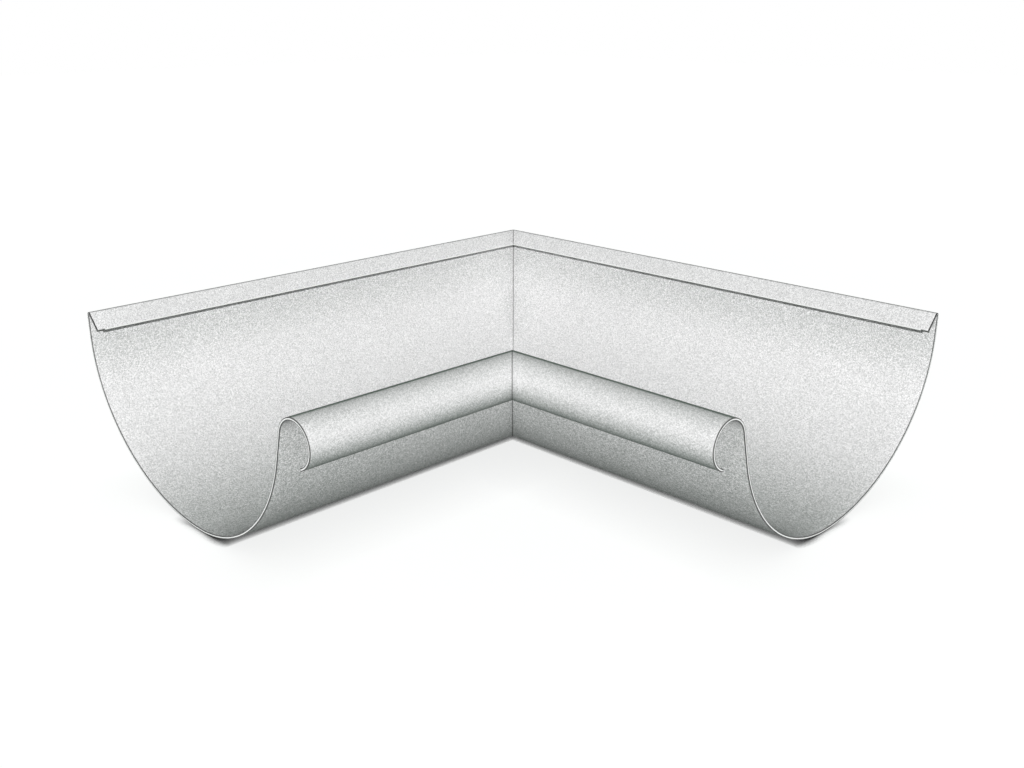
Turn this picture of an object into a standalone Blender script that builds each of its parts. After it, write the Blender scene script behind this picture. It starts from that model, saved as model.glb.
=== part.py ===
# Internal angle of a half round gutter, formed from one galvanised steel sheet.
#
# Metres, with +Z up. Two legs meet at a right angle: one runs along +X and the other along -Y.
# The back of the gutter, with its folded edge, is on the outside of the angle.
# The beaded front edge is on the inside. The origin is under the middle of the square that the
# two legs span, level with the lowest line of the trough.

import math

import bmesh
import bpy

# Sheet and legs
sheet_thickness = 0.0012
leg_length = 0.2566          # along the back, from the outer corner to the open end

# Trough, measured on its outer side
rear_reach = 0.0795          # from the back to the lowest line
trough_depth = 0.0646        # from the foot of the flat strip to the lowest line
front_radius = 0.0635        # of the round front, which starts at the lowest line
stem_lean = math.radians(14) # how far the flat stem above it leans forward
stem_length = 0.0124

# Bead along the front edge
bead_diameter = 0.0192       # over its outer side
bead_turn = math.radians(238)

# Back edge: a flat strip, folded over towards the trough at its top
rear_strip_height = 0.0088
fold_radius = 0.0003         # inside the fold
fold_lip_length = 0.0086
fold_lip_slope = math.radians(47)

# Largest distance between a facet and the round surface that it stands for
facet_error = 0.00002
fewest_facets = 6            # in any bend, however tight
sharp_edge = math.radians(35)
mitre_reach = 0.000001       # how near the mitre's plane a point counts as on it

# Galvanised finish
zinc_colour = (0.66, 0.68, 0.67, 1.0)
zinc_roughness = 0.42
zinc_metallic = 0.85


def clear_scene():
    for old in list(bpy.data.objects):
        bpy.data.objects.remove(old, do_unlink=True)


def zinc_material():
    material = bpy.data.materials.new("galvanised_steel")
    material.use_nodes = True
    shader = material.node_tree.nodes["Principled BSDF"]
    shader.inputs["Base Color"].default_value = zinc_colour
    shader.inputs["Roughness"].default_value = zinc_roughness
    shader.inputs["Metallic"].default_value = zinc_metallic
    return material


# The sheet's section is drawn as its middle line: a list of (across, height, heading).
# across runs from the back of the gutter to its front, and heading is the angle of travel.

def steps_for(radius, turn):
    """How many straight facets keep a bend within facet_error."""
    widest = 2 * math.acos(1 - min(facet_error / radius, 1))
    return max(fewest_facets, math.ceil(abs(turn) / widest))


def straight(start, length):
    across, height, heading = start
    return [(across + length * math.cos(heading), height + length * math.sin(heading), heading)]


def bend(start, radius, turn):
    """Circular bend of the middle line, to the left for a positive turn."""
    across, height, heading = start
    side = math.copysign(radius, turn)
    centre_across = across - side * math.sin(heading)
    centre_height = height + side * math.cos(heading)
    count = steps_for(radius, turn)
    points = []
    for step in range(1, count + 1):
        angle = heading + turn * step / count
        points.append((
            centre_across + side * math.sin(angle),
            centre_height - side * math.cos(angle),
            angle,
        ))
    return points


def rear_quarter(start, reach, depth):
    """Quarter of an ellipse, from travel straight down to travel straight forward."""
    across, height, _ = start
    count = steps_for(max(reach, depth), math.pi / 2)
    points = []
    for step in range(1, count + 1):
        angle = math.pi / 2 * step / count
        points.append((
            across + reach * (1 - math.cos(angle)),
            height - depth * math.sin(angle),
            math.atan2(-depth * math.cos(angle), reach * math.sin(angle)),
        ))
    return points


def middle_line():
    """From the free edge of the fold, down the back, through the trough and round the bead."""
    half = sheet_thickness / 2
    strip_foot = (half, trough_depth)

    upward = [(*strip_foot, math.pi / 2)]
    upward += straight(upward[-1], rear_strip_height)
    upward += bend(upward[-1], fold_radius + half, -(math.pi / 2 + fold_lip_slope))
    upward += straight(upward[-1], fold_lip_length)
    back_edge = [(across, height, heading + math.pi) for across, height, heading in reversed(upward)]

    front = [(*strip_foot, -math.pi / 2)]
    front += rear_quarter(front[-1], rear_reach - half, trough_depth - half)
    front += bend(front[-1], front_radius - half, math.pi / 2 - stem_lean)
    front += straight(front[-1], stem_length)
    front += bend(front[-1], bead_diameter / 2 - half, -bead_turn)
    return back_edge + front[1:]


def sheet_sides(line):
    """The sheet's two surfaces: the trough's side, on the left of the middle line, and the back."""
    half = sheet_thickness / 2
    trough_side = []
    back_side = []
    for across, height, heading in line:
        shift_across = half * math.sin(heading)
        shift_height = half * math.cos(heading)
        trough_side.append((across - shift_across, height + shift_height))
        back_side.append((across + shift_across, height - shift_height))
    return trough_side, back_side


# Where a point of the section lies on each of the three cross cuts through the angle

def left_end(across, height):
    return (across - leg_length / 2, -leg_length / 2, height)


def mitre(across, height):
    return (across - leg_length / 2, leg_length / 2 - across, height)


def right_end(across, height):
    return (leg_length / 2, leg_length / 2 - across, height)


def on_mitre(place):
    return abs(place.x + place.y) < mitre_reach


def extrude_to(mesh, faces, sections, cut):
    """Extrudes the section's faces and moves each new point to its place on the next cross cut."""
    made = bmesh.ops.extrude_face_region(mesh, geom=faces)["geom"]
    tag = mesh.verts.layers.int["section_point"]
    for vert in made:
        if isinstance(vert, bmesh.types.BMVert):
            vert.co = cut(*sections[vert[tag]])
    return [face for face in made if isinstance(face, bmesh.types.BMFace)]


def gutter_angle():
    trough_side, back_side = sheet_sides(middle_line())
    sections = trough_side + back_side
    mesh = bmesh.new()
    tag = mesh.verts.layers.int.new("section_point")
    verts = []
    for number, point in enumerate(sections):
        vert = mesh.verts.new(left_end(*point))
        vert[tag] = number
        verts.append(vert)
    last = len(trough_side)
    faces = []
    for here in range(last - 1):
        there = here + 1
        faces.append(mesh.faces.new((verts[here], verts[there], verts[last + there], verts[last + here])))
    mitre_faces = extrude_to(mesh, faces, sections, mitre)
    extrude_to(mesh, mitre_faces, sections, right_end)
    bmesh.ops.delete(mesh, geom=mitre_faces, context="FACES")
    bmesh.ops.recalc_face_normals(mesh, faces=mesh.faces[:])

    data = bpy.data.meshes.new("gutter_angle")
    mesh.to_mesh(data)
    mesh.free()
    data.attributes.remove(data.attributes["section_point"])
    data.shade_smooth()
    data.set_sharp_from_angle(angle=sharp_edge)
    for edge in data.edges:
        if all(on_mitre(data.vertices[number].co) for number in edge.vertices):
            edge.use_edge_sharp = True
    angle = bpy.data.objects.new("gutter_angle", data)
    bpy.context.scene.collection.objects.link(angle)
    return angle


clear_scene()
gutter_angle().data.materials.append(zinc_material())
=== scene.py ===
import math

import bmesh
import bpy
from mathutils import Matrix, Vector


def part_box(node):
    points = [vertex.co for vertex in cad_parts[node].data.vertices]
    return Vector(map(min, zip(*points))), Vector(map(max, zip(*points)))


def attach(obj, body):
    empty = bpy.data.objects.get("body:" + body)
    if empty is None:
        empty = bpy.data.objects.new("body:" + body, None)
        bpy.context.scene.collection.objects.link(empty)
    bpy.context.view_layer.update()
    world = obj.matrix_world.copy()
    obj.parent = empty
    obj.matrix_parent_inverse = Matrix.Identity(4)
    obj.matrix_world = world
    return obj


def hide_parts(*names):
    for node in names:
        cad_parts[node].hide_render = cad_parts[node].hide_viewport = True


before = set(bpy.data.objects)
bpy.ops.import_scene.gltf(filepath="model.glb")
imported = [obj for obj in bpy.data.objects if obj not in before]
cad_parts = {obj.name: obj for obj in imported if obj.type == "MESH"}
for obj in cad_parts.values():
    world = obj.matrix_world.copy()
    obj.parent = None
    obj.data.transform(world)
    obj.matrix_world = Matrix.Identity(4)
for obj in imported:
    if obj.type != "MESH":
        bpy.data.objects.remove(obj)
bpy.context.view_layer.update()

# Internal angle of a half round gutter, in galvanised sheet. Metres, +Z up, as in the frame.
# Right leg runs along +X, left leg along -Y. The two are mirrored in the plane x + y = 0.

print("frame loaded:", ", ".join(sorted(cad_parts)))


def addObject(name, data):
    thing = bpy.data.objects.new(name, data)
    bpy.context.scene.collection.objects.link(thing)
    return thing


def newMaterial(name):
    material = bpy.data.materials.new(name)
    material.use_nodes = True
    return material, material.node_tree


# Formed sheet

sheet = {
    "piece": "gutterAngleSheet",
    "legLength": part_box("gutter_angle")[1].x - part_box("gutter_angle")[0].x,
    "thickness": 0.0012,
    "rearReach": 0.0795,               # from the back to the lowest line
    "troughDepth": 0.0646,
    "frontRadius": 0.0635,
    "stemLean": math.radians(14),
    "stemLength": 0.0124,
    "beadDiameter": 0.0192,
    "beadTurn": math.radians(238),
    "stripHeight": 0.0088,             # flat back strip under the fold
    "foldRadius": 0.0003,
    "lipLength": 0.0086,
    "lipSlope": math.radians(47),
    "arrisRadius": 0.00028,            # rounding of the cut ends
    "freeArrisRadius": 0.00035,        # and of the free edges along the lip and the bead
    "freeEdgeClear": 0.00056,          # the curve's own points stop this far before a free edge
    "seamHalfWidth": 0.00022,          # fine groove where the two legs meet
    "seamDepth": 0.00016,
    "sharpAngle": math.radians(32),    # edges that turn more than this stay sharp
    "rearFacets": 96,
    "frontFacets": 72,
    "beadFacets": 112,
    "foldFacets": 22,
    "straightFacets": 3,
    "arrisFacets": 5,
    "legFacets": 26,
}


def walkStraight(line, length, count):
    across, height, heading = line[-1]
    for step in range(1, count + 1):
        gone = length * step / count
        line.append((across + gone * math.cos(heading), height + gone * math.sin(heading), heading))


def walkBend(line, radius, turn, count):
    across, height, heading = line[-1]
    side = math.copysign(radius, turn)
    middleAcross = across - side * math.sin(heading)
    middleHeight = height + side * math.cos(heading)
    for step in range(1, count + 1):
        angle = heading + turn * step / count
        line.append((middleAcross + side * math.sin(angle), middleHeight - side * math.cos(angle), angle))


def walkRearQuarter(line, reach, depth, count):
    across, height, _ = line[-1]
    for step in range(1, count + 1):
        angle = math.pi / 2 * step / count
        heading = math.atan2(-depth * math.cos(angle), reach * math.sin(angle))
        line.append((across + reach * (1 - math.cos(angle)), height - depth * math.sin(angle), heading))


# Middle of the sheet as (across, height, heading), from the free edge of the lip to that of the bead
def middleLine():
    half = sheet["thickness"] / 2
    foot = (half, sheet["troughDepth"])
    upward = [(*foot, math.pi / 2)]
    walkStraight(upward, sheet["stripHeight"], sheet["straightFacets"])
    walkBend(upward, sheet["foldRadius"] + half, -(math.pi / 2 + sheet["lipSlope"]), sheet["foldFacets"])
    walkStraight(upward, sheet["lipLength"], sheet["straightFacets"])
    line = [(across, height, heading + math.pi) for across, height, heading in reversed(upward)]
    line[-1] = (*foot, -math.pi / 2)
    walkRearQuarter(line, sheet["rearReach"] - half, sheet["troughDepth"] - half, sheet["rearFacets"])
    walkBend(line, sheet["frontRadius"] - half, math.pi / 2 - sheet["stemLean"], sheet["frontFacets"])
    walkStraight(line, sheet["stemLength"], sheet["straightFacets"])
    walkBend(line, sheet["beadDiameter"] / 2 - half, -sheet["beadTurn"], sheet["beadFacets"])
    return line


# How far each point of the middle line is along the unrolled sheet
def runsAlong(line):
    runs = [0.0]
    for before, here in zip(line, line[1:]):
        runs.append(runs[-1] + math.dist(before[:2], here[:2]))
    return runs


# Quarter round on one corner of a free edge, from the sheet's side to its cut face.
# outward is 1 at the bead's edge and -1 at the lip's, side is 1 on the trough's side of the sheet.
def edgeCorner(point, outward, side, inset):
    across, height, heading = point
    along = Vector((math.cos(heading), math.sin(heading))) * outward
    normal = Vector((-math.sin(heading), math.cos(heading))) * side
    radius = sheet["freeArrisRadius"] - inset
    middle = Vector((across, height)) - along * (inset + radius)
    middle += normal * (sheet["thickness"] / 2 - inset - radius)
    corner = []
    for step in range(sheet["arrisFacets"] + 1):
        angle = math.pi / 2 * step / sheet["arrisFacets"]
        corner.append(middle + normal * radius * math.cos(angle) + along * radius * math.sin(angle))
    return corner


# Closed outline of the section, taken in by inset all round.
# Each entry is (across, height, run, toFreeEdge, through): run is how far along the unrolled sheet,
# toFreeEdge the way to the nearer free edge, and through goes from 0 at the back to 1 in the trough.
def sectionOutline(line, inset):
    runs = runsAlong(line)
    whole = runs[-1]
    half = sheet["thickness"] / 2 - inset
    clear = sheet["freeEdgeClear"]
    kept = [k for k, run in enumerate(runs) if clear < run < whole - clear]

    def side(direction):
        points = []
        for k in kept:
            across, height, heading = line[k]
            points.append((across - direction * half * math.sin(heading),
                           height + direction * half * math.cos(heading),
                           runs[k], min(runs[k], whole - runs[k]), (direction + 1) / 2))
        return points

    def corner(point, run, outward, direction):
        return [(place.x, place.y, run, 0.0, (direction + 1) / 2)
                for place in edgeCorner(point, outward, direction, inset)]

    outline = corner(line[0], 0.0, -1, 1)[::-1] + side(1) + corner(line[-1], whole, 1, 1)
    outline += corner(line[-1], whole, 1, -1)[::-1] + side(-1)[::-1] + corner(line[0], 0.0, -1, -1)
    return outline


# Cross cuts of one leg as (kind, distance, inset), from the mitre to the open end
def legCuts():
    cuts = [("mitre", 0.0, sheet["seamDepth"]), ("mitre", sheet["seamHalfWidth"], 0.0)]
    cuts += [("share", step / sheet["legFacets"], 0.0) for step in range(1, sheet["legFacets"])]
    for step in range(sheet["arrisFacets"] + 1):
        angle = math.pi / 2 * step / sheet["arrisFacets"]
        cuts.append(("end", sheet["arrisRadius"] * (1 - math.sin(angle)),
                     sheet["arrisRadius"] * (1 - math.cos(angle))))
    return cuts


# Place of a section point on a cut of the right leg, and its distance from the mitre and the end
def cutPlace(across, height, kind, distance):
    end = sheet["legLength"] / 2
    start = across - end
    if kind == "mitre":
        x = start + distance
    elif kind == "end":
        x = end - distance
    else:
        nearest = start + sheet["seamHalfWidth"]
        x = nearest + (end - sheet["arrisRadius"] - nearest) * distance
    return Vector((x, end - across, height)), x - start, end - x


def mirrored(place):
    return Vector((-place.y, -place.x, place.z))


# Painted shade in the coating: reach and strength of each zone, 0 for none and 1 for full.
# Runs are measured along the unrolled sheet from the free edge of the lip.
paintedShadeZones = {
    "backStart": 0.0100,               # painted shade on the back face from the fold on
    "backReach": 0.0020,
    "back": 0.33,
    "lowestReach": 0.0950,             # and darker still to each side of the lowest line
    "lowest": 0.40,
    "underLipRun": 0.0190,              # painted shade on the wall below the lip
    "underLipReach": 0.0280,
    "underLip": 0.235,
    "beadLowerReach": 0.0170,               # painted shade on the lower side of the bead, up from its free edge
    "beadLower": 0.90,
    "crownRun": 0.2358,                # along the top of the bead: a wide painted shade and a thin painted dark line
    "crownReach": 0.0190,
    "crown": 0.27,
    "crownLineCore": 0.0029,
    "crownLineReach": 0.0046,
    "crownLine": 1.0,
    "troughBottomRun": 0.1410,                  # painted shade along the bottom of the trough
    "troughBottomReach": 0.0700,
    "troughBottom": 0.37,
    "cornerReach": 0.0320,             # painted shade to each side of the mitre, half way up the back wall
    "cornerRun": 0.0500,
    "cornerSpread": 0.0380,
    "corner": 0.14,
}


def smooth(share):
    share = min(max(share, 0.0), 1.0)
    return share * share * (3 - 2 * share)


# How deep the painted shade is at a point of the sheet, on its back face or on its trough side
def paintedShade(run, whole, lowestRun, fromMitre, onTroughSide):
    if not onTroughSide:
        lowest = paintedShadeZones["lowest"] * smooth(1 - abs(run - lowestRun) / paintedShadeZones["lowestReach"])
        return (paintedShadeZones["back"] + lowest) * smooth((run - paintedShadeZones["backStart"]) / paintedShadeZones["backReach"])
    underLip = paintedShadeZones["underLip"] * smooth(1 - (run - paintedShadeZones["underLipRun"]) / paintedShadeZones["underLipReach"])
    beadLower = paintedShadeZones["beadLower"] * smooth(1 - (whole - run) / paintedShadeZones["beadLowerReach"])
    fromCrown = abs(run - paintedShadeZones["crownRun"])
    crown = paintedShadeZones["crown"] * smooth(1 - fromCrown / paintedShadeZones["crownReach"])
    crownSoft = paintedShadeZones["crownLineReach"] - paintedShadeZones["crownLineCore"]
    crownLine = paintedShadeZones["crownLine"] * smooth((paintedShadeZones["crownLineReach"] - fromCrown) / crownSoft)
    troughBottom = paintedShadeZones["troughBottom"] * smooth(1 - abs(run - paintedShadeZones["troughBottomRun"]) / paintedShadeZones["troughBottomReach"])
    corner = paintedShadeZones["corner"] * smooth(1 - fromMitre / paintedShadeZones["cornerReach"])
    corner *= smooth(1 - abs(run - paintedShadeZones["cornerRun"]) / paintedShadeZones["cornerSpread"])
    return max(underLip, beadLower, crown, crownLine, troughBottom) * (1 - corner) + corner


def makeSheet(materials):
    line = middleLine()
    cuts = legCuts()
    mesh = bmesh.new()
    unrolled = mesh.loops.layers.uv.new("unrolledSheet")
    edgeWays = mesh.verts.layers.float_vector.new("edgeWays")   # to the end, the free edge and the mitre
    through = mesh.verts.layers.float.new("throughSheet")
    # painted shade, stored on each vertex for the coating's colour
    paintedDepth = mesh.verts.layers.float.new("paintedShade")
    flat = {}
    runs = runsAlong(line)
    whole = runs[-1]
    lowestRun = min(zip(line, runs), key=lambda place: place[0][1])[1]

    def ring(crossCut, leg):
        kind, distance, inset = crossCut
        verts = []
        for across, height, run, toFreeEdge, depth in sectionOutline(line, inset):
            place, fromMitre, toEnd = cutPlace(across, height, kind, distance)
            vert = mesh.verts.new(place if leg > 0 else mirrored(place))
            vert[edgeWays] = Vector((toEnd, toFreeEdge, fromMitre))
            vert[through] = depth
            vert[paintedDepth] = paintedShade(run, whole, lowestRun, fromMitre, depth > 0.5)
            flat[vert] = (run, leg * fromMitre)
            verts.append(vert)
        return verts

    rings = [ring(crossCut, -1) for crossCut in reversed(cuts[1:])]
    rings += [ring(crossCut, 1) for crossCut in cuts]
    count = len(rings[0])
    perSide = count // 2
    cornerPoints = endRings = sheet["arrisFacets"]
    coated, cut = 0, 1                 # places in materials

    def onFreeEdge(here):
        place = here % perSide
        return place < cornerPoints or place >= perSide - cornerPoints - 1

    for number, (before, after) in enumerate(zip(rings, rings[1:])):
        nearEnd = number < endRings or number >= len(rings) - 1 - endRings
        for here in range(count):
            there = (here + 1) % count
            face = mesh.faces.new((before[here], before[there], after[there], after[here]))
            face.material_index = cut if nearEnd or onFreeEdge(here) else coated

    # end faces: a strip between the two sides of the sheet, and one face for each rounded free edge
    for verts in (rings[0], rings[-1]):
        for here in range(cornerPoints, perSide - cornerPoints - 1):
            across = count - 1 - here
            face = mesh.faces.new((verts[here], verts[here + 1], verts[across - 1], verts[across]))
            face.material_index = cut
        low = [verts[here] for here in range(-cornerPoints - 1, cornerPoints + 1)]
        high = [verts[here] for here in range(perSide - cornerPoints - 1, perSide + cornerPoints + 1)]
        for corner in (low, high):
            face = mesh.faces.new(corner)
            face.material_index = cut
    bmesh.ops.recalc_face_normals(mesh, faces=mesh.faces[:])
    for face in mesh.faces:
        face.smooth = True
        for loop in face.loops:
            loop[unrolled].uv = flat[loop.vert]

    data = bpy.data.meshes.new(sheet["piece"])
    mesh.to_mesh(data)
    mesh.free()
    for material in materials:
        data.materials.append(material)
    data.set_sharp_from_angle(angle=sheet["sharpAngle"])
    return addObject(sheet["piece"], data)


# Shader helpers

def addNode(tree, kind, **settings):
    node = tree.nodes.new(kind)
    for name, value in settings.items():
        setattr(node, name, value)
    return node


def newGroup(name, inputs, outputs):
    group = bpy.data.node_groups.new(name, "ShaderNodeTree")
    for way, labels in (("INPUT", inputs), ("OUTPUT", outputs)):
        for label in labels:
            group.interface.new_socket(name=label, in_out=way, socket_type="NodeSocketFloat")
    return group, group.nodes.new("NodeGroupInput"), group.nodes.new("NodeGroupOutput")


# a and b are sockets or numbers
def calc(tree, operation, a, b=None, clamp=False):
    node = addNode(tree, "ShaderNodeMath", operation=operation, use_clamp=clamp)
    for socket, value in zip(node.inputs, (a, b)):
        if value is None:
            continue
        if isinstance(value, (int, float)):
            socket.default_value = value
        else:
            tree.links.new(value, socket)
    return node.outputs[0]


# 1 on the line, falling to 0 at width
def fadeOut(tree, way, width):
    return calc(tree, "SUBTRACT", 1.0, calc(tree, "DIVIDE", way, width), clamp=True)


def placeGroup(tree, group, values):
    node = addNode(tree, "ShaderNodeGroup", node_tree=group)
    for name, value in values.items():
        node.inputs[name].default_value = value
    return node


def mixColour(tree, factor, dark, light, blend="MIX"):
    node = addNode(tree, "ShaderNodeMix", data_type="RGBA", blend_type=blend)
    for socket, value in zip((node.inputs[0], node.inputs[6], node.inputs[7]), (factor, dark, light)):
        if isinstance(value, (int, float, tuple)):
            socket.default_value = value
        else:
            tree.links.new(value, socket)
    return node.outputs[2]


# colour times a plain value
def shadeBy(tree, colour, value):
    grey = addNode(tree, "ShaderNodeCombineColor")
    for socket in grey.inputs:
        tree.links.new(value, socket)
    return mixColour(tree, 1.0, colour, grey.outputs[0], "MULTIPLY")


def spread(tree, value, low, high):
    node = addNode(tree, "ShaderNodeMapRange")
    tree.links.new(value, node.inputs["Value"])
    node.inputs["To Min"].default_value = low
    node.inputs["To Max"].default_value = high
    return node.outputs[0]


# What makeSheet stores in the mesh, read back in a material
def readNumber(tree, name):
    return addNode(tree, "ShaderNodeAttribute", attribute_name=name).outputs["Fac"]


def runAlongSheet(tree):
    flat = addNode(tree, "ShaderNodeSeparateXYZ")
    tree.links.new(addNode(tree, "ShaderNodeUVMap", uv_map="unrolledSheet").outputs[0], flat.inputs[0])
    return flat.outputs["X"]


def waysToEdges(tree):
    ways = addNode(tree, "ShaderNodeAttribute", attribute_name="edgeWays")
    split = addNode(tree, "ShaderNodeSeparateXYZ")
    tree.links.new(ways.outputs["Vector"], split.inputs[0])
    return split.outputs["X"], split.outputs["Y"], split.outputs["Z"]


# Fineness of the patterns, and how far the forming lines are drawn out along the leg
patterns = {
    "clumpDetail": 2.0,
    "cloudDetail": 3.0,
    "lineDetail": 2.0,
    "lineScale": (1.0, 0.02, 1.0),
}


# Fine grain of the zinc: one shade for each tiny crystal, gathered here and there into clumps
def zincGrainGroup():
    group, given, result = newGroup(
        "zincGrain", ("Speck Size", "Clump Size", "Clump Share"), ("Tone", "Height"))
    place = addNode(group, "ShaderNodeTexCoord").outputs["Object"]

    def scaled(size):
        node = addNode(group, "ShaderNodeVectorMath", operation="SCALE")
        group.links.new(place, node.inputs[0])
        group.links.new(calc(group, "DIVIDE", 1.0, size), node.inputs["Scale"])
        return node.outputs[0]

    specks = addNode(group, "ShaderNodeTexVoronoi")
    specks.inputs["Scale"].default_value = 1.0
    group.links.new(scaled(given.outputs["Speck Size"]), specks.inputs["Vector"])
    shade = addNode(group, "ShaderNodeSeparateColor")
    group.links.new(specks.outputs["Color"], shade.inputs[0])
    clumps = addNode(group, "ShaderNodeTexNoise")
    clumps.inputs["Scale"].default_value = 1.0
    clumps.inputs["Detail"].default_value = patterns["clumpDetail"]
    group.links.new(scaled(given.outputs["Clump Size"]), clumps.inputs["Vector"])
    speckShare = calc(group, "SUBTRACT", 1.0, given.outputs["Clump Share"])
    speckTone = calc(group, "MULTIPLY", shade.outputs[0], speckShare)
    clumpTone = calc(group, "MULTIPLY", clumps.outputs["Fac"], given.outputs["Clump Share"])
    group.links.new(calc(group, "ADD", speckTone, clumpTone), result.inputs["Tone"])
    group.links.new(speckTone, result.inputs["Height"])
    return group


# Broad clouds in the coating, and faint lines left by the forming rolls along each leg
def formingMarksGroup():
    group, given, result = newGroup("formingMarks", ("Cloud Size", "Line Width"), ("Clouds", "Lines"))
    place = addNode(group, "ShaderNodeTexCoord").outputs["Object"]
    clouds = addNode(group, "ShaderNodeTexNoise")
    clouds.inputs["Detail"].default_value = patterns["cloudDetail"]
    group.links.new(place, clouds.inputs["Vector"])
    group.links.new(calc(group, "DIVIDE", 1.0, given.outputs["Cloud Size"]), clouds.inputs["Scale"])
    flat = addNode(group, "ShaderNodeUVMap", uv_map="unrolledSheet")
    stretch = addNode(group, "ShaderNodeMapping")
    stretch.inputs["Scale"].default_value = patterns["lineScale"]
    group.links.new(flat.outputs[0], stretch.inputs["Vector"])
    lines = addNode(group, "ShaderNodeTexNoise")
    lines.inputs["Detail"].default_value = patterns["lineDetail"]
    group.links.new(stretch.outputs[0], lines.inputs["Vector"])
    group.links.new(calc(group, "DIVIDE", 1.0, given.outputs["Line Width"]), lines.inputs["Scale"])
    group.links.new(clouds.outputs["Fac"], result.inputs["Clouds"])
    group.links.new(lines.outputs["Fac"], result.inputs["Lines"])
    return group


# Thin dull lines: at the open ends, along the bead's free edge and in the mitre; and a line of painted
# shade on the fold's crest
def edgeSeamAndCrestShadeGroup():
    group, given, result = newGroup("edgeSeamAndCrestShadeLines", (
        "Edge Width", "Edge Depth", "Seam Width", "Seam Depth",
        "Crest Run", "Crest Width", "Crest Depth"), ("Shade",))
    run = runAlongSheet(group)
    toEnd, toFreeEdge, fromMitre = waysToEdges(group)
    pastCrest = calc(group, "GREATER_THAN", run, given.outputs["Crest Run"])
    freeEdge = fadeOut(group, toFreeEdge, given.outputs["Edge Width"])
    freeEdge = calc(group, "MULTIPLY", freeEdge, pastCrest)
    edge = calc(group, "MAXIMUM", fadeOut(group, toEnd, given.outputs["Edge Width"]), freeEdge)
    seam = fadeOut(group, fromMitre, given.outputs["Seam Width"])
    # painted shade line along the fold's crest
    fromCrest = calc(group, "ABSOLUTE", calc(group, "SUBTRACT", run, given.outputs["Crest Run"]))
    crest = fadeOut(group, fromCrest, given.outputs["Crest Width"])
    shade = calc(group, "SUBTRACT", 1.0, calc(group, "MULTIPLY", edge, given.outputs["Edge Depth"]))
    for line, depth in ((seam, "Seam Depth"), (crest, "Crest Depth")):
        lightness = calc(group, "SUBTRACT", 1.0, calc(group, "MULTIPLY", line, given.outputs[depth]))
        shade = calc(group, "MINIMUM", shade, lightness)
    group.links.new(shade, result.inputs["Shade"])
    return group


# Zinc on the two faces of the sheet

zinc = {
    "darkSpeck": (0.475, 0.472, 0.475, 1.0),
    "lightSpeck": (0.945, 0.931, 0.941, 1.0),
    "speckSize": 0.00032,
    "clumpSize": 0.0014,
    "clumpShare": 0.12,                # of the grain's contrast, the rest is in the specks
    "cloudSize": 0.03,
    "cloudTone": (0.97, 1.03),
    "lineWidth": 0.0012,
    "lineTone": (0.985, 1.015),
    # the shade painted into the coating's zones: its tint, its spread with the clouds and its pull on the
    # grain
    "paintedShadeTint": (0.285, 0.345, 0.306, 1.0),
    "paintedShadeSpread": (0.85, 1.15),
    "paintedShadeGrain": (1.0, -1.0),          # the painted shade takes the dark specks first
    "rolledRun": 0.2280,               # from here on, on the rolled bead, the grain is calmer
    "rolledCalm": 0.30,                # drawn so far towards its middle tone
    "middleTone": 0.55,
    "edgeWidth": 0.00042,
    "edgeDepth": 0.8,
    "seamWidth": 0.00045,
    "seamDepth": 0.7,
    # painted shade along the fold's crest
    "crestRun": 0.00955,
    "crestWidth": 0.0008,
    "crestDepth": 0.95,
    "metallic": 0.06,
    "roughness": (0.50, 0.62),
    "specular": 0.0,
    "bumpHeight": 0.00002,
}


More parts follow.
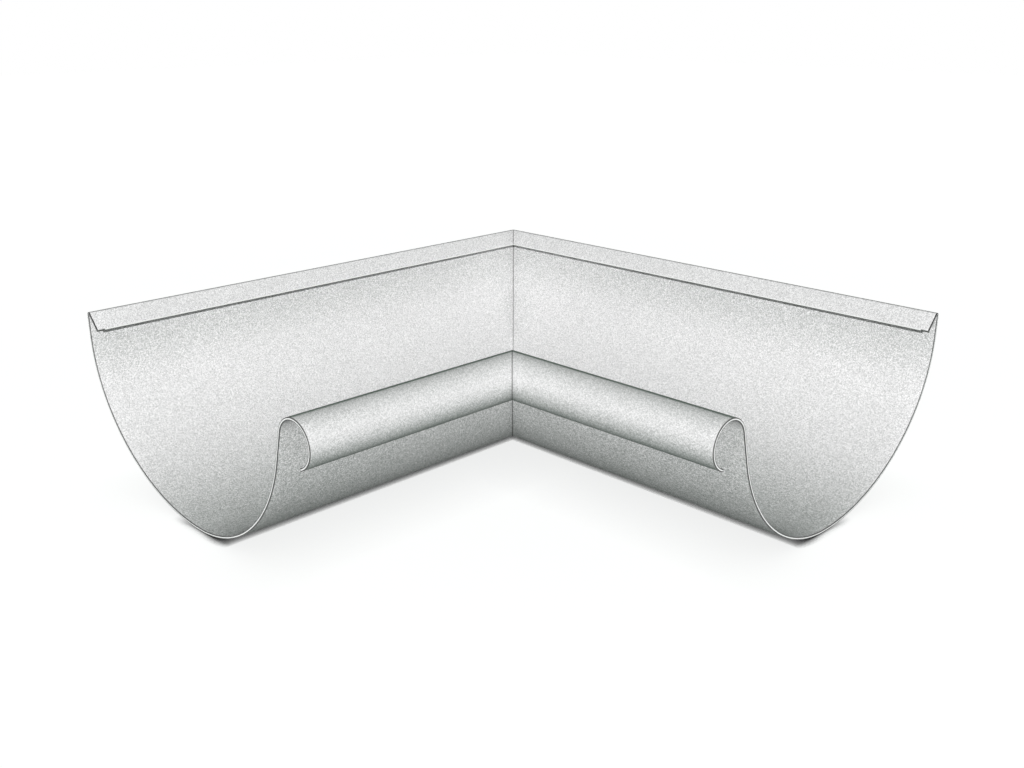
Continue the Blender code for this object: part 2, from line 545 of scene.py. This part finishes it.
def zincMaterial(groups):
    material, tree = newMaterial("zincCoating")
    shader = tree.nodes["Principled BSDF"]
    grain = placeGroup(tree, groups["grain"], {
        "Speck Size": zinc["speckSize"],
        "Clump Size": zinc["clumpSize"],
        "Clump Share": zinc["clumpShare"],
    })
    marks = placeGroup(tree, groups["marks"], {
        "Cloud Size": zinc["cloudSize"],
        "Line Width": zinc["lineWidth"],
    })
    lines = placeGroup(tree, groups["lines"], {
        "Edge Width": zinc["edgeWidth"], "Edge Depth": zinc["edgeDepth"],
        "Seam Width": zinc["seamWidth"], "Seam Depth": zinc["seamDepth"],
        "Crest Width": zinc["crestWidth"], "Crest Depth": zinc["crestDepth"],
        "Crest Run": zinc["crestRun"],
    })
    rolled = calc(tree, "GREATER_THAN", runAlongSheet(tree), zinc["rolledRun"])
    calm = calc(tree, "MULTIPLY", rolled, zinc["rolledCalm"])
    toMiddle = calc(tree, "SUBTRACT", zinc["middleTone"], grain.outputs["Tone"])
    tone = calc(tree, "ADD", grain.outputs["Tone"], calc(tree, "MULTIPLY", toMiddle, calm))
    colour = mixColour(tree, tone, zinc["darkSpeck"], zinc["lightSpeck"])
    colour = shadeBy(tree, colour, spread(tree, marks.outputs["Clouds"], *zinc["cloudTone"]))
    colour = shadeBy(tree, colour, spread(tree, marks.outputs["Lines"], *zinc["lineTone"]))
    # painted shade: the zinc is darkened and tinted by the depth stored in the mesh
    paintedDepth = readNumber(tree, "paintedShade")
    uneven = spread(tree, marks.outputs["Clouds"], *zinc["paintedShadeSpread"])
    partly = calc(tree, "MULTIPLY", paintedDepth, calc(tree, "SUBTRACT", 1.0, paintedDepth))
    swing = calc(tree, "MULTIPLY", partly, spread(tree, tone, *zinc["paintedShadeGrain"]))
    howShaded = calc(tree, "ADD", calc(tree, "MULTIPLY", paintedDepth, uneven), swing, clamp=True)
    shadedColour = mixColour(tree, 1.0, colour, zinc["paintedShadeTint"], "MULTIPLY")
    colour = mixColour(tree, howShaded, colour, shadedColour)
    tree.links.new(shadeBy(tree, colour, lines.outputs["Shade"]), shader.inputs["Base Color"])
    mean = calc(tree, "DIVIDE", calc(tree, "ADD", grain.outputs["Tone"], marks.outputs["Clouds"]), 2.0)
    tree.links.new(spread(tree, mean, *zinc["roughness"]), shader.inputs["Roughness"])
    shader.inputs["Metallic"].default_value = zinc["metallic"]
    shader.inputs["Specular IOR Level"].default_value = zinc["specular"]
    bump = addNode(tree, "ShaderNodeBump")
    bump.inputs["Distance"].default_value = zinc["bumpHeight"]
    tree.links.new(grain.outputs["Height"], bump.inputs["Height"])
    tree.links.new(bump.outputs[0], shader.inputs["Normal"])
    return material


# Cut edges. The ends are freshly sheared: a bright band, then a torn one, between dull arrises.
# The long edges are the slit edges of the coil, dark on the trough's side: bare steel, with painted shade
# that deepens the lip's edge line.

cutEdge = {
    "brightBand": (0.93, 0.935, 0.93, 1.0),
    "tornBand": (0.82, 0.83, 0.825, 1.0),
    "slitBright": (0.80, 0.81, 0.80, 1.0),
    "slitDull": (0.10, 0.105, 0.10, 1.0),
    "bandShare": 0.45,                 # torn up to here through the sheet, bright beyond
    "slitShare": 0.12,                 # bright up to here, dull beyond
    "slitShadowEnds": 0.0034,                # and painted dark all over this near an open end, standing in for the lip's shadow line
    "slitReach": 0.0004,               # how far onto the end faces the slit edge shows
    "lipRun": 0.0098,                  # up to here the end faces are dull: the folded lip
    "lipTone": 0.25,
    "arrisStart": 0.33,                # from the middle of the cut, as a share of the thickness
    "arrisTone": 0.10,
    "markSize": 0.0003,
    "markClump": 0.0006,
    "markClumpShare": 0.4,
    "markTone": (0.92, 1.05),
    "metallic": 0.10,
    "roughness": (0.35, 0.50),
    "specular": 0.2,
}


def cutEdgeMaterial(groups):
    material, tree = newMaterial("shearedEdge")
    shader = tree.nodes["Principled BSDF"]
    through = readNumber(tree, "throughSheet")
    toEnd, toFreeEdge, _ = waysToEdges(tree)
    marks = placeGroup(tree, groups["grain"], {
        "Speck Size": cutEdge["markSize"],
        "Clump Size": cutEdge["markClump"],
        "Clump Share": cutEdge["markClumpShare"],
    })
    band = calc(tree, "GREATER_THAN", through, cutEdge["bandShare"])
    colour = mixColour(tree, band, cutEdge["tornBand"], cutEdge["brightBand"])
    fromMiddle = calc(tree, "ABSOLUTE", calc(tree, "SUBTRACT", through, 0.5))
    arris = calc(tree, "GREATER_THAN", fromMiddle, cutEdge["arrisStart"])
    colour = shadeBy(tree, colour, spread(tree, arris, 1.0, cutEdge["arrisTone"]))
    lip = calc(tree, "LESS_THAN", runAlongSheet(tree), cutEdge["lipRun"])
    colour = shadeBy(tree, colour, spread(tree, lip, 1.0, cutEdge["lipTone"]))
    # painted shade: the slit edge is dark past slitShare, and dark all over near the open ends in place
    # of the lip's shadow line there
    nearEnd = calc(tree, "LESS_THAN", toEnd, cutEdge["slitShadowEnds"])
    slitBand = calc(tree, "GREATER_THAN", through, cutEdge["slitShare"])
    slitBand = calc(tree, "MAXIMUM", slitBand, nearEnd)
    slitColour = mixColour(tree, slitBand, cutEdge["slitBright"], cutEdge["slitDull"])
    colour = mixColour(tree, fadeOut(tree, toFreeEdge, cutEdge["slitReach"]), colour, slitColour)
    colour = shadeBy(tree, colour, spread(tree, marks.outputs["Tone"], *cutEdge["markTone"]))
    tree.links.new(colour, shader.inputs["Base Color"])
    tree.links.new(spread(tree, marks.outputs["Tone"], *cutEdge["roughness"]), shader.inputs["Roughness"])
    shader.inputs["Metallic"].default_value = cutEdge["metallic"]
    shader.inputs["Specular IOR Level"].default_value = cutEdge["specular"]
    return material


groups = {"grain": zincGrainGroup(), "marks": formingMarksGroup(), "lines": edgeSeamAndCrestShadeGroup()}
materials = [zincMaterial(groups), cutEdgeMaterial(groups)]
print("materials ready:", ", ".join(material.name for material in materials))
gutterSheet = makeSheet(materials)
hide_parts("gutter_angle")
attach(gutterSheet, "root")
print("sheet formed:", len(gutterSheet.data.polygons), "faces")


# Studio: pale floor, a round lamp beyond the camera, a level one behind, white surround

studio = {
    "floorSize": 6.0,
    "floorColour": (0.16, 0.171, 0.165, 1.0),
    "floorGlow": 0.89,
    "floorFar": 1.6,                   # from here on the floor glows white
    "contactReach": 0.0034,            # the floor is shaded where the part is this near
    "contactPower": 2.4,
    "contactBehind": 0.018,            # that shade is gone this far behind the lowest line
    "hazeReach": 0.028,                # a faint shade goes as far as this
    "haze": 0.13,
    "shadeSamples": 4,
    "background": (1.0, 1.0, 1.0, 1.0),
    "surround": (0.87, 0.98, 0.91, 1.0),
    "fill": 0.21,
    "keyPower": 125.0,
    "keyWidth": 0.07,
    "keyDistance": 3.2,
    "keyAzimuth": math.radians(45),
    "keyElevation": math.radians(18.9),
    "backStrength": 3.0,               # level with the part, so only its back is lit
    "backAngle": math.radians(1.5),
    "backAzimuth": math.radians(225),
    "backElevation": math.radians(1.0),
}


# 1 for rays that show the background: from the camera, off metal and through glass
def backgroundRays(tree):
    path = addNode(tree, "ShaderNodeLightPath")
    seen = calc(tree, "MAXIMUM", path.outputs["Is Camera Ray"], path.outputs["Is Glossy Ray"])
    return calc(tree, "MAXIMUM", seen, path.outputs["Is Transmission Ray"])


def opennessWithin(tree, reach):
    openness = addNode(tree, "ShaderNodeAmbientOcclusion", samples=studio["shadeSamples"])
    openness.inputs["Distance"].default_value = reach
    return openness.outputs["AO"]


# Shade of the part on the floor, from 1 in the open down to 0: dark close under it, faint round it
def floorShade(tree, place):
    contact = calc(tree, "POWER", opennessWithin(tree, studio["contactReach"]), studio["contactPower"])
    split = addNode(tree, "ShaderNodeSeparateXYZ")
    tree.links.new(place, split.inputs[0])
    lowestLine = sheet["legLength"] / 2 - sheet["rearReach"]
    behindRight = calc(tree, "SUBTRACT", split.outputs["Y"], lowestLine)
    behindLeft = calc(tree, "SUBTRACT", -lowestLine, split.outputs["X"])
    behind = calc(tree, "MAXIMUM", behindRight, behindLeft)
    lost = calc(tree, "DIVIDE", behind, studio["contactBehind"], clamp=True)
    haze = spread(tree, opennessWithin(tree, studio["hazeReach"]), 1 - studio["haze"], 1.0)
    return calc(tree, "MULTIPLY", calc(tree, "MAXIMUM", contact, lost), haze)


def floorMaterial():
    material, tree = newMaterial("paleFloor")
    tree.nodes.remove(tree.nodes["Principled BSDF"])
    place = addNode(tree, "ShaderNodeTexCoord").outputs["Object"]
    shade = floorShade(tree, place)
    diffuse = addNode(tree, "ShaderNodeBsdfDiffuse")
    tree.links.new(shadeBy(tree, studio["floorColour"], shade), diffuse.inputs["Color"])
    fromMiddle = addNode(tree, "ShaderNodeVectorMath", operation="LENGTH")
    tree.links.new(place, fromMiddle.inputs[0])
    farShare = calc(tree, "DIVIDE", fromMiddle.outputs["Value"], studio["floorFar"], clamp=True)
    brightness = spread(tree, farShare, studio["floorGlow"], 1.0)
    brightness = calc(tree, "MULTIPLY", brightness, backgroundRays(tree))
    glow = addNode(tree, "ShaderNodeEmission")
    tree.links.new(calc(tree, "MULTIPLY", brightness, shade), glow.inputs["Strength"])
    both = addNode(tree, "ShaderNodeAddShader")
    tree.links.new(diffuse.outputs[0], both.inputs[0])
    tree.links.new(glow.outputs[0], both.inputs[1])
    tree.links.new(both.outputs[0], tree.nodes["Material Output"].inputs["Surface"])
    return material


def makeFloor():
    mesh = bmesh.new()
    bmesh.ops.create_grid(mesh, x_segments=1, y_segments=1, size=studio["floorSize"] / 2)
    data = bpy.data.meshes.new("studioFloor")
    mesh.to_mesh(data)
    mesh.free()
    data.materials.append(floorMaterial())
    floor = addObject("studioFloor", data)


def makeSurround():
    world = bpy.data.worlds.new("paleSurround")
    bpy.context.scene.world = world
    world.use_nodes = True
    tree = world.node_tree
    white = tree.nodes["Background"]
    white.inputs["Color"].default_value = studio["background"]
    fill = addNode(tree, "ShaderNodeBackground")
    fill.inputs["Color"].default_value = studio["surround"]
    fill.inputs["Strength"].default_value = studio["fill"]
    pick = addNode(tree, "ShaderNodeMixShader")
    tree.links.new(backgroundRays(tree), pick.inputs[0])
    tree.links.new(fill.outputs[0], pick.inputs[1])
    tree.links.new(white.outputs[0], pick.inputs[2])
    tree.links.new(pick.outputs[0], tree.nodes["World Output"].inputs["Surface"])


# azimuth 0 is in front, looking along +Y, and 90 is on the +X side
def hangLamp(lamp, azimuth, elevation, distance):
    holder = addObject(lamp.name, lamp)
    level = distance * math.cos(elevation)
    height = distance * math.sin(elevation)
    holder.location = (level * math.sin(azimuth), -level * math.cos(azimuth), height)
    holder.rotation_euler = (math.pi / 2 - elevation, 0.0, azimuth)


def makeLamps():
    key = bpy.data.lights.new("keyLamp", "AREA")
    key.shape = "DISK"
    key.size = studio["keyWidth"]
    key.energy = studio["keyPower"]
    hangLamp(key, studio["keyAzimuth"], studio["keyElevation"], studio["keyDistance"])
    back = bpy.data.lights.new("backLamp", "SUN")
    back.energy = studio["backStrength"]
    back.angle = studio["backAngle"]
    hangLamp(back, studio["backAzimuth"], studio["backElevation"], studio["keyDistance"])


view = {
    "place": (0.31975, -0.31803, 0.19933),
    "azimuth": math.radians(45.181),
    "elevation": math.radians(19.18),
    "lens": 38.559,
    "sensor": 36.0,
    "nearest": 0.01,
    "farthest": 50.0,
}


def makeCamera():
    camera = bpy.data.cameras.new("viewCamera")
    camera.lens = view["lens"]
    camera.sensor_width = view["sensor"]
    camera.clip_start = view["nearest"]
    camera.clip_end = view["farthest"]
    holder = addObject("viewCamera", camera)
    holder.location = view["place"]
    holder.rotation_euler = (math.pi / 2 - view["elevation"], 0.0, view["azimuth"])
    bpy.context.scene.camera = holder


makeFloor()
makeSurround()
makeLamps()
makeCamera()
bpy.context.scene.view_settings.view_transform = "Standard"
print("studio ready")
